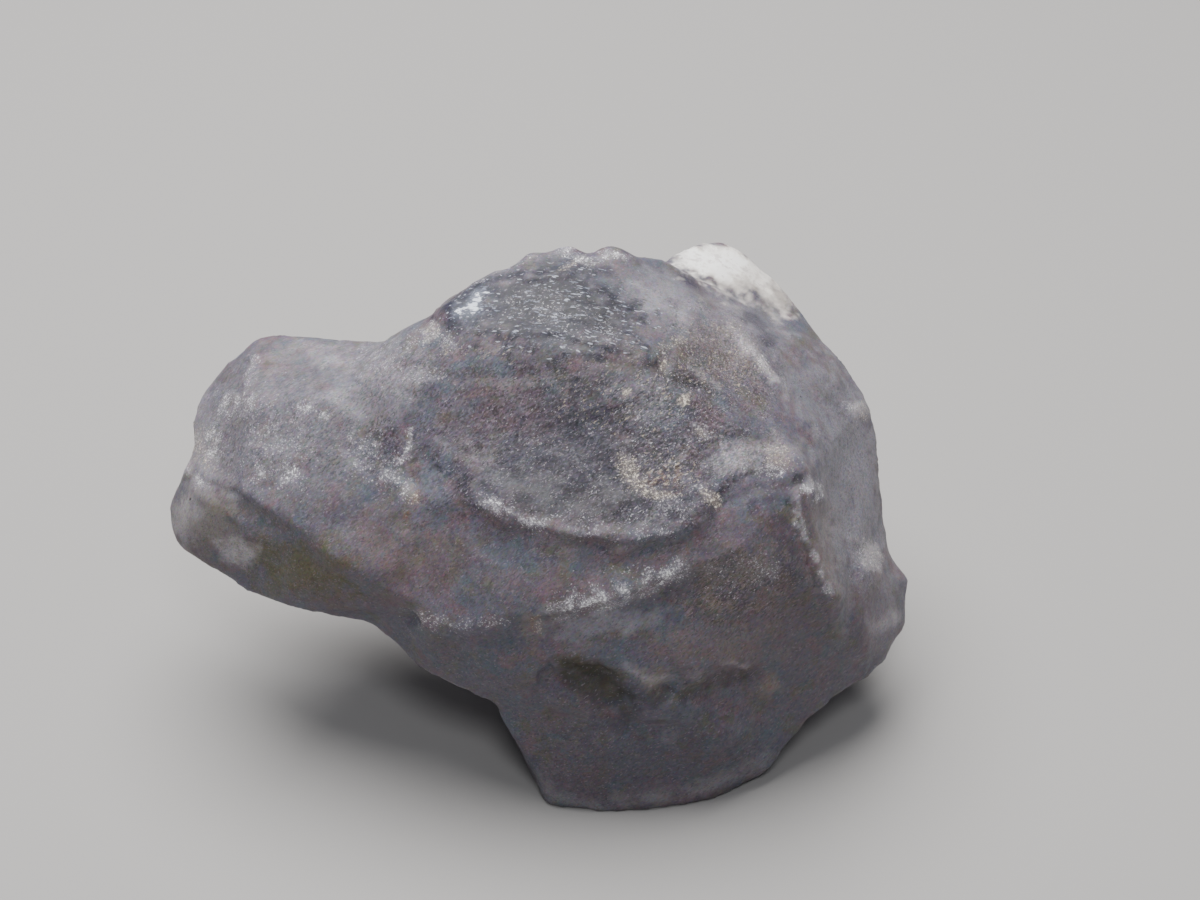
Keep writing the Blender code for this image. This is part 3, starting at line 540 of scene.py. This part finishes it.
def break_skin(skin, marks):
    """Presses the fine forms of the break into the skin."""
    across = skin.across + STEP_DRIFT * skin.rags + STEP_CRUMBLE * skin.crumbling
    up = skin.up + STEP_DRIFT * cloud(skin.points, 1.1, 2, 9) - STEP_CRUMBLE * skin.crumbling
    push = sum(step_push(step, across, up) for step in STEPS.values()) * skin.facing
    for nick in NICKS:
        push += nick.height * bell(np.hypot(skin.across - nick.across, skin.up - nick.up), nick.width)
    across = skin.across + RIDGE_DRIFT * skin.rags + RIDGE_CRUMBLE * skin.crumbling
    ridges = np.zeros(len(across))
    for ridge in RIDGES:
        distance, _, share = along(ridge.line, across, skin.up)
        ridges += ridge.height * bell(distance, ridge.width) * ends_fade(share, LINE_FADE)
    push += ridges * np.clip(0.85 + 1.2 * skin.crumbling, 0.2, 1.5) * skin.facing
    # Shallow shells that meet in blunt ridges, mostly on the hidden sides
    push -= np.abs(waves(skin.points, SHELLS, 2)) * (1.0 - 0.85 * skin.facing)
    push += np.clip(marks["sugary"], 0, 1) * sum(plates(skin.points, grains) for grains in SUGARY_GRAINS)
    push += np.clip(marks["crushed"], 0, 1) * plates(skin.points, CRUSHED_GRAINS)
    push += marks["glassy"] * waves(skin.points, GLASSY_RIPPLES, 2)
    uneven = waves(skin.points, SHORT_WAVES, 3) + waves(skin.points, LONG_WAVES, 2)
    push += uneven * (1.0 - 0.5 * skin.facing)
    skin.push(push)


# ---------------------------------------------------------------- materials

def colour(code):
    """An sRGB hex code as linear red, green, blue and alpha."""
    parts = [int(code[i:i + 2], 16) / 255 for i in (0, 2, 4)]
    return tuple(c / 12.92 if c <= 0.04045 else ((c + 0.055) / 1.055) ** 2.4 for c in parts) + (1.0,)


def add(tree, kind, out, sockets=None, **settings):
    """Adds a node with its settings, gives its sockets values or other outputs, and returns one output."""
    made = tree.nodes.new("ShaderNode" + kind)
    for name, value in settings.items():
        setattr(made, name, value)
    for socket, value in (sockets or {}).items():
        if isinstance(value, bpy.types.NodeSocket):
            tree.links.new(value, made.inputs[socket])
        else:
            made.inputs[socket].default_value = value
    return made if out is None else made.outputs[out]


def per_mm(size):
    """The scale of a pattern whose features are this many millimetres apart, on coordinates in metres."""
    return 1.0 / (size * MM)


def turned_on_front(degrees):
    """The rotation that lays a pattern on the leaning front, turned by this many degrees."""
    up_way, out_way = (Vector(way) for way in front_ways())
    lean = Matrix((Vector((1, 0, 0)), up_way, out_way)).transposed()
    return (lean @ Matrix.Rotation(math.radians(degrees), 3, "Z")).to_euler()


# A colour in clouds of this size in millimetres. It starts to show at one level of the clouds, shows fully at
# another, and shows only where the mark says, if there is one.
Veil = namedtuple("Veil", "tint size start full strength mark", defaults=(None,))
STONE = "5f5c67"
STONE_VEILS = (
    # Rosy, blue, olive and brown greys that drift through the whole stone
    Veil("685b5f", 3.2, 0.42, 0.62, 0.6), Veil("575f69", 2.2, 0.48, 0.66, 0.5),
    Veil("635e52", 1.3, 0.5, 0.66, 0.45), Veil("70585c", 1.1, 0.5, 0.62, 0.55),
    Veil("605e4e", 0.9, 0.52, 0.64, 0.55), Veil("505f72", 1.3, 0.52, 0.64, 0.5),
    Veil("8a878f", 2.4, 0.05, 0.5, 0.85, "milk"),
    Veil("33313e", 2.8, -0.1, 0.45, 0.85, "deep"),
    Veil("665158", 1.8, 0.3, 0.6, 0.6, "mauve"),
    Veil("83766f", 1.2, 0.25, 0.6, 0.8, "tan"),
    Veil("77706b", 1.6, 0.25, 0.6, 0.8, "dun"),
    Veil("5e5942", 1.2, 0.2, 0.55, 0.85, "olive"),
    Veil("7a5b49", 0.3, 0.42, 0.62, 0.75, "rust"),
)
# Nearer the surface: faint light and dark mottles, frost, paler edges that are mostly painted light, and
# painted shade under edges
SURFACE_VEILS = (
    Veil("97949b", 0.24, 0.5, 0.7, 0.12), Veil("3f3b44", 0.3, 0.5, 0.7, 0.16),
    Veil("b6b1b6", 0.9, 0.2, 0.62, 0.75, "pale"),
    Veil("2c2a28", 0.8, 0.1, 0.5, 0.9, "dark"),
)
# The knob's crust: cream, chalk over it, and a little grey dirt
CRUST_VEILS = (
    Veil("c4bcb4", 0.5, 0.1, 0.4, 0.95, "cream"), Veil("e6e0d8", 1.1, 0.4, 0.64, 0.8, "cream"),
    Veil("fffdf8", 0.9, 0.3, 0.5, 1.0, "chalk"),
    Veil("a89c9c", 0.45, 0.52, 0.66, 0.5, "cream"),
)


def veiled(tree, place, below, veils):
    """Lays the veils one by one over the colour below."""
    for veil in veils:
        clouds = add(tree, "TexNoise", "Fac", {
            "Vector": place, "Scale": per_mm(veil.size), "Detail": 4.0, "Roughness": 0.6})
        share = add(tree, "MapRange", "Result", {
            "Value": clouds, "From Min": veil.start, "From Max": veil.full, "To Max": veil.strength,
        }, interpolation_type="SMOOTHSTEP")
        if veil.mark:
            where = add(tree, "Attribute", "Fac", attribute_name=veil.mark)
            share = add(tree, "Math", "Value", {0: share, 1: where}, operation="MULTIPLY")
        below = add(tree, "Mix", 2, {0: share, 6: below, 7: colour(veil.tint)}, data_type="RGBA")
    return below


def wash(tree, below, tint, mark, most):
    """Lays an even colour over the one below, as far as the mark goes."""
    share = add(tree, "Math", "Value", {0: mark, 1: most}, operation="MULTIPLY")
    return add(tree, "Mix", 2, {0: share, 6: below, 7: colour(tint)}, data_type="RGBA")


def scatter(tree, below, tint, draw, mark, most, strength, least=0.0):
    """Gives the colour to a share of the grains, from least to most as the mark goes from 0 to 1. Each grain
    has drawn a number from 0 to 1, and those with the lowest numbers take it first and most."""
    share = add(tree, "MapRange", "Result", {"Value": mark, "To Min": least, "To Max": most})
    sure = add(tree, "Math", "Value", {0: share, 1: 0.45}, operation="MULTIPLY")
    picked = add(tree, "MapRange", "Result", {
        "Value": draw, "From Min": share, "From Max": sure, "To Max": strength})
    return add(tree, "Mix", 2, {0: picked, 6: below, 7: colour(tint)}, data_type="RGBA")


def flecks(tree, place, below, tint, size, mark, most, strength):
    """Gives the colour to ragged flecks of this size in mm and under: more where the mark is higher."""
    share = add(tree, "Math", "Value", {0: mark, 1: most}, operation="MULTIPLY")
    grit = add(tree, "TexNoise", "Fac", {
        "Vector": place, "Scale": per_mm(size), "Detail": 3.0, "Roughness": 0.7})
    start = add(tree, "MapRange", "Result", {"Value": share, "To Min": 0.66, "To Max": 0.46})
    over = add(tree, "Math", "Value", {0: grit, 1: start}, operation="SUBTRACT")
    full = add(tree, "MapRange", "Result", {"Value": share, "From Max": 0.15, "To Max": strength})
    picked = add(tree, "MapRange", "Result", {"Value": over, "From Max": 0.07, "To Max": full},
                 interpolation_type="SMOOTHSTEP")
    return add(tree, "Mix", 2, {0: picked, 6: below, 7: colour(tint)}, data_type="RGBA")


def grain_draws(tree, place, size):
    """Angular grains of this size in mm: three numbers drawn by each grain, as a colour and one by one."""
    drawn = add(tree, "TexVoronoi", "Color", {"Vector": place, "Scale": per_mm(size)}, feature="F1")
    parts = add(tree, "SeparateColor", None, {"Color": drawn})
    return (drawn, *parts.outputs)


def herderite():
    """Herderite: a glassy phosphate, broken rather than cut. Its clean breaks are satin and let light a few
    millimetres in, its sugary breaks are a mass of tiny faces that each catch the light, and its rims are
    crushed white."""
    material = bpy.data.materials.new("broken_herderite")
    material.use_nodes = True
    tree = material.node_tree
    tree.nodes.clear()
    marked = {name: add(tree, "Attribute", "Fac", attribute_name=name)
              for name in ("sugary", "glassy", "crushed", "straw", "crumbly", "painted_glint", "cream")}
    sugary, glassy, crushed = marked["sugary"], marked["glassy"], marked["crushed"]

    # The real grains have faces of 0.05 to 0.3 mm. The sizes drawn are the finest of those that show, and the
    # grains wander off an even pattern by more than their size.
    fine_size, coarse_size = 0.05, 0.09
    object_place = add(tree, "TexCoord", "Object")
    stir = add(tree, "TexNoise", "Color", {"Vector": object_place, "Scale": per_mm(0.35), "Detail": 1.0})
    stirred = add(tree, "VectorMath", "Vector", {0: stir, 3: 0.14 * MM}, operation="SCALE")
    place = add(tree, "VectorMath", "Vector", {0: object_place, 1: stirred}, operation="ADD")
    # On the seen side the grains are drawn out up to the right
    drawn_out = add(tree, "Mapping", "Vector", {
        "Vector": place, "Rotation": turned_on_front(36), "Scale": (1.9, 0.9, 0.9)}, vector_type="TEXTURE")
    # The flakes of the upper facet lie nearly level
    lying = add(tree, "Mapping", "Vector", {
        "Vector": place, "Rotation": turned_on_front(-9), "Scale": (4.0, 1.0, 1.0)}, vector_type="TEXTURE")
    fine, fine_a, fine_b, fine_c = grain_draws(tree, drawn_out, fine_size)
    coarse, coarse_a, coarse_b, _ = grain_draws(tree, drawn_out, coarse_size)
    _, crumb_a, crumb_b, _ = grain_draws(tree, place, fine_size)
    _, flake_a, flake_b, _ = grain_draws(tree, lying, fine_size)

    body = veiled(tree, place, colour(STONE), STONE_VEILS)
    # The glassy stone of the upper facet lets most light in and gives little back, sugary stone a little more
    body = wash(tree, body, "282a38", glassy, 0.93)
    body = wash(tree, body, "2f2b33", sugary, 0.35)
    body = veiled(tree, place, body, SURFACE_VEILS)

    # Every grain is a little lighter or darker than the next, and has its own slight tint
    depth = add(tree, "MapRange", "Result", {"Value": sugary, "To Min": 0.05, "To Max": 0.34})
    for strength, grains in ((depth, fine_c), (depth, coarse_a), (0.14, fine), (0.1, coarse)):
        body = add(tree, "Mix", 2, {0: strength, 6: body, 7: grains},
                   data_type="RGBA", blend_type="SOFT_LIGHT")

    # Sugary stone: dark grains, light grains, and bright flecks that are painted glints
    body = scatter(tree, body, "3e3c41", fine_a, sugary, least=0.08, most=0.34, strength=0.35)
    body = scatter(tree, body, "413e44", coarse_b, sugary, least=0.08, most=0.34, strength=0.2)
    body = scatter(tree, body, "938e93", fine_b, sugary, least=0.04, most=0.17, strength=0.38)
    body = flecks(tree, drawn_out, body, "d8d4da", 0.1, sugary, most=0.28, strength=0.6)
    # Glassy stone: dull flakes, bluish flakes that are painted sheen, and a few bright ones that are painted
    # glints
    body = scatter(tree, body, "2f2e37", flake_a, glassy, most=0.3, strength=0.55)
    body = flecks(tree, lying, body, "a3abc0", 0.15, glassy, most=0.4, strength=0.45)
    body = scatter(tree, body, "c6cbd8", flake_b, glassy, most=0.06, strength=0.6)
    # Straw grains and cream crumbs
    body = flecks(tree, drawn_out, body, "bdb09c", 0.13, marked["straw"], most=2.4, strength=0.6)
    body = wash(tree, body, "94897e", marked["crumbly"], 0.5)
    body = scatter(tree, body, "c8beb0", crumb_a, marked["crumbly"], most=0.6, strength=0.45)
    body = flecks(tree, place, body, "e4dacb", 0.14, marked["crumbly"], most=1.0, strength=0.85)
    body = veiled(tree, place, body, CRUST_VEILS)
    # Painted glint: a silvery reflection of the light, painted as colour
    body = wash(tree, body, "8f97a8", marked["painted_glint"], 0.45)
    body = flecks(tree, lying, body, "e6ebf5", 0.22, marked["painted_glint"], most=0.85, strength=0.9)
    # A crushed rim is paler between its grains too, and some of its grains are dark. Its brightest white flecks
    # are painted glints, the sparkle of its tiny faces.
    body = wash(tree, body, "a3a0a6", crushed, 0.65)
    body = scatter(tree, body, "4a474c", crumb_b, crushed, most=0.3, strength=0.45)
    body = scatter(tree, body, "cbc8cd", crumb_a, crushed, most=0.7, strength=0.45)
    body = flecks(tree, place, body, "dddbe0", 0.13, crushed, most=0.95, strength=0.65)
    body = flecks(tree, place, body, "ffffff", 0.1, crushed, most=0.8, strength=0.95)
    # Small dark pits, up to 2.6 mm apart and under 0.1 mm wide
    pits = add(tree, "TexVoronoi", "Distance", {"Vector": object_place, "Scale": per_mm(2.6)}, feature="F1")
    pit = add(tree, "MapRange", "Result", {
        "Value": pits, "From Min": 0.03, "From Max": 0.018, "To Max": 0.85})
    body = add(tree, "Mix", 2, {0: pit, 6: body, 7: colour("1c1916")}, data_type="RGBA")

    # Each grain's face is tilted its own way; smooth stone keeps only a trace of it
    tilt = add(tree, "VectorMath", "Vector", {0: fine, 1: (0.5, 0.5, 0.5)}, operation="SUBTRACT")
    rugged = add(tree, "Math", "Value", {0: sugary, 1: crushed}, operation="ADD", use_clamp=True)
    lean_by = add(tree, "MapRange", "Result", {"Value": rugged, "To Min": 0.09, "To Max": 0.28})
    leaning = add(tree, "VectorMath", "Vector", {0: tilt, 3: lean_by}, operation="SCALE")
    ripple = add(tree, "TexNoise", "Fac", {
        "Vector": place, "Scale": per_mm(0.6), "Detail": 4.0, "Roughness": 0.6})
    bumped = add(tree, "Bump", "Normal", {"Strength": 0.25, "Distance": 0.06 * MM, "Height": ripple})
    faced = add(tree, "VectorMath", "Vector", {0: bumped, 1: leaning}, operation="ADD")
    normal = add(tree, "VectorMath", "Vector", {0: faced}, operation="NORMALIZE")

    # Satin breaks, even glassy ones, and a chalky crust
    rough = add(tree, "MapRange", "Result", {
        "Value": ripple, "From Min": 0.3, "From Max": 0.7, "To Min": 0.4, "To Max": 0.54})
    rough = add(tree, "Mix", 0, {0: glassy, 2: rough, 3: 0.5}, data_type="FLOAT")
    rough = add(tree, "Mix", 0, {0: marked["cream"], 2: rough, 3: 0.62}, data_type="FLOAT")
    # Herderite's index is 1.6. Flaws just under the skin break up the shine, and light goes about 1.4 mm in.
    surface = add(tree, "BsdfPrincipled", "BSDF", {
        "Base Color": body, "Roughness": rough, "IOR": 1.6, "Normal": normal, "Specular IOR Level": 0.2,
        "Subsurface Weight": 0.45, "Subsurface Radius": (1.0, 0.94, 1.04), "Subsurface Scale": 1.4 * MM,
    }, subsurface_method="RANDOM_WALK")
    add(tree, "OutputMaterial", None, {"Surface": surface})
    return material


def studio_card(name, code, roughness):
    """Matt painted card."""
    material = bpy.data.materials.new(name)
    material.use_nodes = True
    sockets = material.node_tree.nodes["Principled BSDF"].inputs
    sockets["Base Color"].default_value = colour(code)
    sockets["Roughness"].default_value = roughness
    return material


# ---------------------------------------------------------------- the studio

def area_light(name, place, aim, size, watts, tint):
    """A round soft light. Places and size are in millimetres."""
    light = bpy.data.lights.new(name, "AREA")
    light.shape = "DISK"
    light.size = size * MM
    light.energy = watts
    light.color = tint
    lamp = bpy.data.objects.new(name, light)
    bpy.context.scene.collection.objects.link(lamp)
    lamp.location = Vector(place) * MM
    lamp.rotation_euler = (Vector(aim) - Vector(place)).to_track_quat("-Z", "Y").to_euler()


def studio():
    bpy.ops.mesh.primitive_grid_add(x_subdivisions=1, y_subdivisions=1, size=4.0, location=(0, 0, 0))
    floor = bpy.context.object
    floor.name = "studio_floor"
    floor.data.materials.append(studio_card("pale_card", "a4a2a0", 0.8))
    world = bpy.data.worlds.new("studio_air")
    bpy.context.scene.world = world
    world.use_nodes = True
    air = world.node_tree.nodes["Background"].inputs
    air["Color"].default_value = colour("c6c9d2")
    air["Strength"].default_value = 0.28
    middle = (0, 0, 8)
    area_light("overhead", (-20, 50, 190), middle, size=190, watts=0.9, tint=(1.0, 0.99, 0.985))
    area_light("front_fill", (10, -130, 170), middle, size=50, watts=0.12, tint=(0.95, 0.97, 1.0))


def camera():
    lens = bpy.data.cameras.new("close_up")
    lens.lens = LENS
    lens.sensor_width = SENSOR
    lens.clip_start = 0.005
    eye = bpy.data.objects.new("close_up", lens)
    bpy.context.scene.collection.objects.link(eye)
    lift = math.radians(CAMERA_ELEVATION)
    back = Vector((0.0, -math.cos(lift), math.sin(lift)))
    eye.location = (Vector(CAMERA_TARGET) + back * CAMERA_DISTANCE) * MM
    eye.rotation_mode = "QUATERNION"
    eye.rotation_quaternion = (-back).to_track_quat("-Z", "Y")
    bpy.context.scene.camera = eye


# ---------------------------------------------------------------- making

studio()
camera()
stone = stone_piece()
skin = Skin(stone.data)
marks = mark_skin(skin)
break_skin(skin, marks)
for name, values in marks.items():
    skin.keep(name, values)
stone.data.shade_smooth()
stone.data.materials.append(herderite())
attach(stone, "root")
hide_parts(STONE_NODE)
